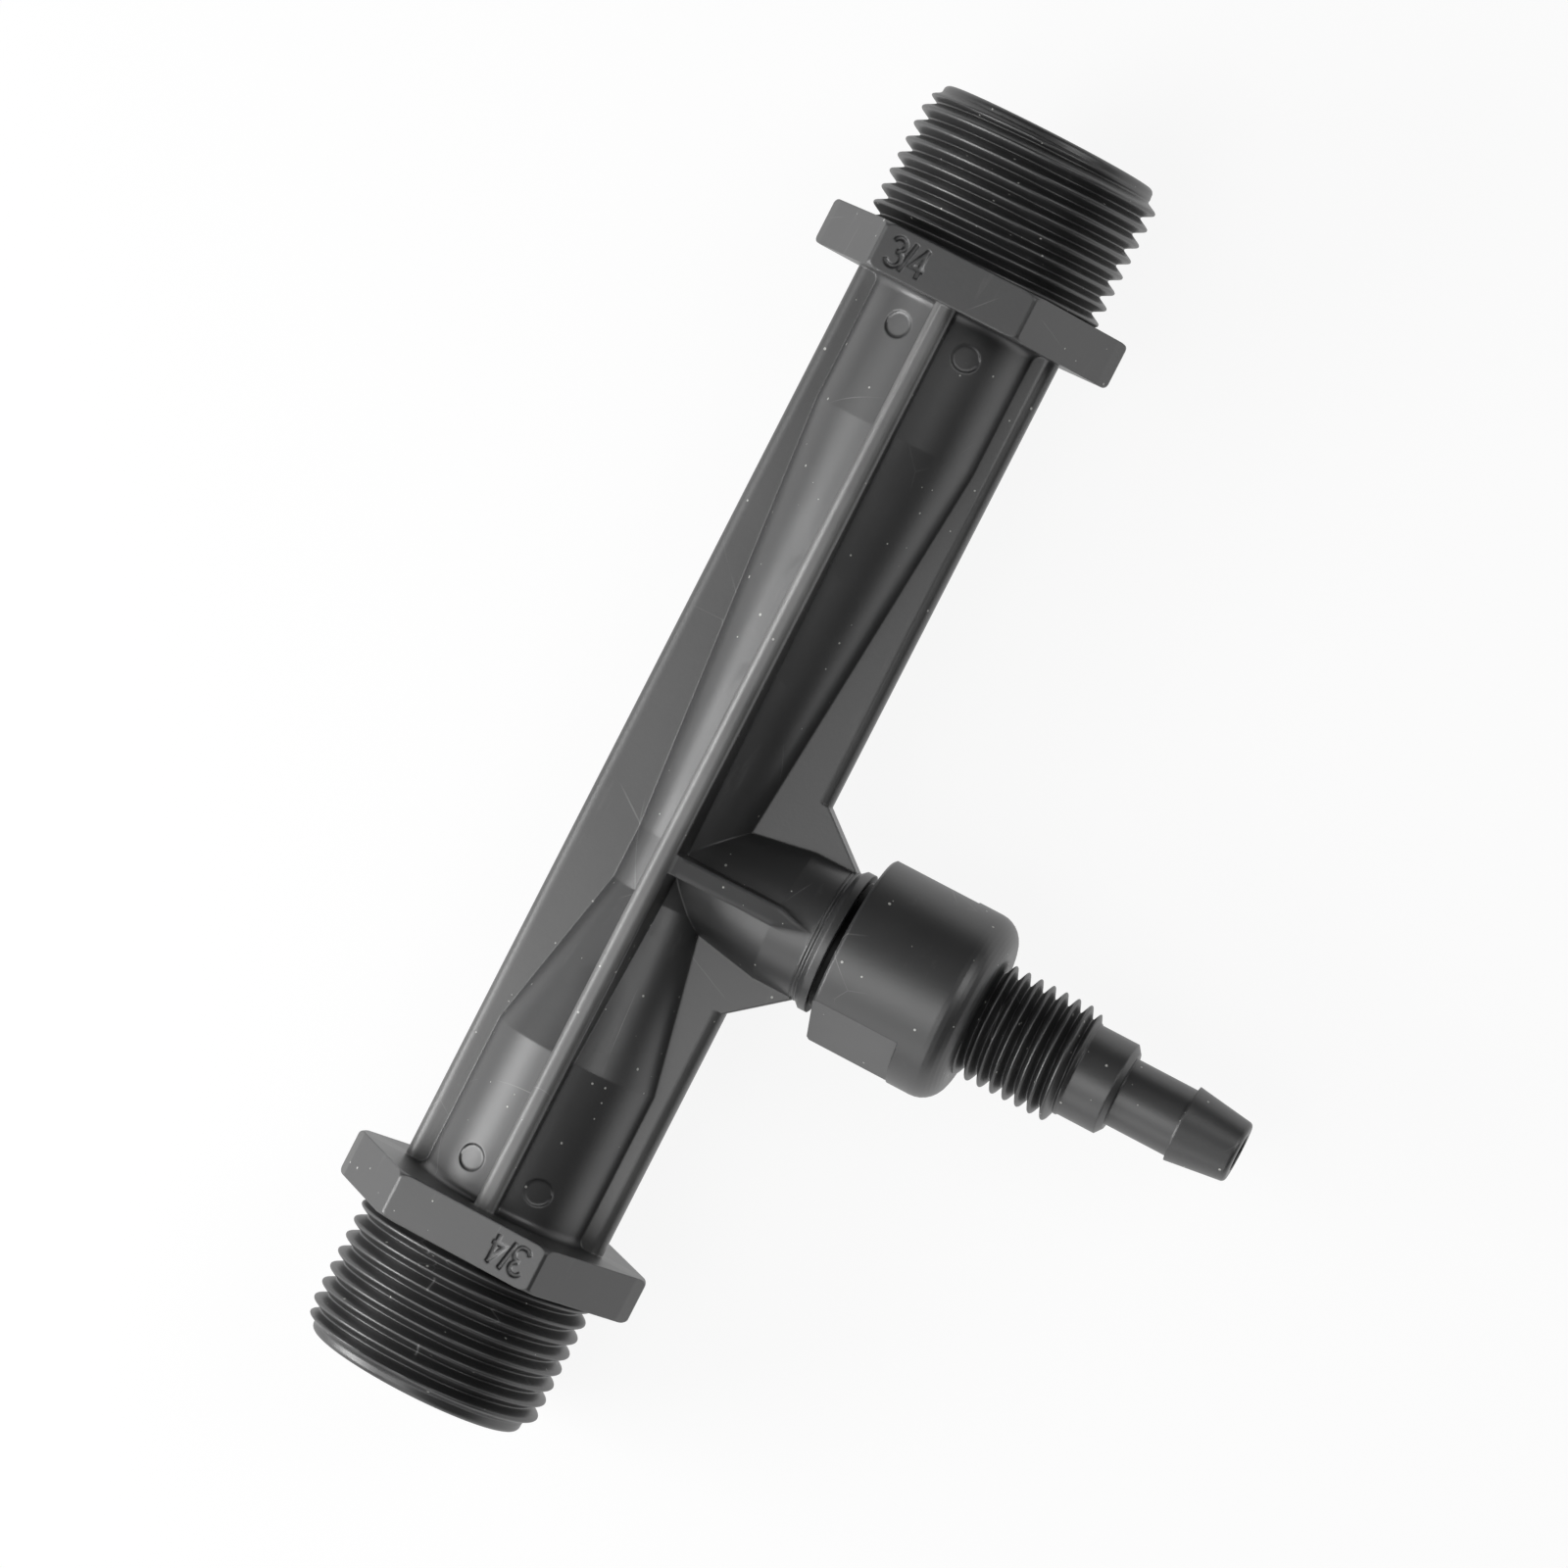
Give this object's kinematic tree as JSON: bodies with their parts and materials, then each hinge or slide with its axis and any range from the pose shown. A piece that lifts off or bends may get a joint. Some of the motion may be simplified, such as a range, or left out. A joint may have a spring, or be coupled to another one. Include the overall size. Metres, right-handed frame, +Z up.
{
  "type": "venturi fertilizer injector",
  "caption": "T-shaped moulded venturi injector with threaded pipe ends, a ribbed narrowing tube and a suction branch with a screw cap, check valve and barbed nipple.",
  "frame": {"origin": "centre of the inlet end face, on the flow axis", "axes": "+Y along the flow from inlet to outlet, +X along the suction branch, +Z up, square to both"},
  "size_m": [0.082, 0.144, 0.0296],
  "materials": {
    "body_plastic": "satin black moulded plastic",
    "cap_plastic": "satin black moulded plastic",
    "seal_rubber": "soft black rubber",
    "ball_plastic": "smooth white plastic",
    "spring_steel": "bright stainless wire"
  },
  "bodies": {
    "injector": {"venturi_body": "body_plastic", "suction_cap": "cap_plastic", "cap_seal": "seal_rubber", "check_spring": "spring_steel"},
    "valve_ball": {"check_ball": "ball_plastic"}
  },
  "joints": [
    {"name": "check_valve_lift", "type": "slide", "parent": "injector", "child": "valve_ball", "axis": [-1, 0, 0], "range_m": [0, 0.003], "stiffness_N_per_m": 30, "springref_m": -0.0015, "deforming": ["check_spring"]}
  ]
}
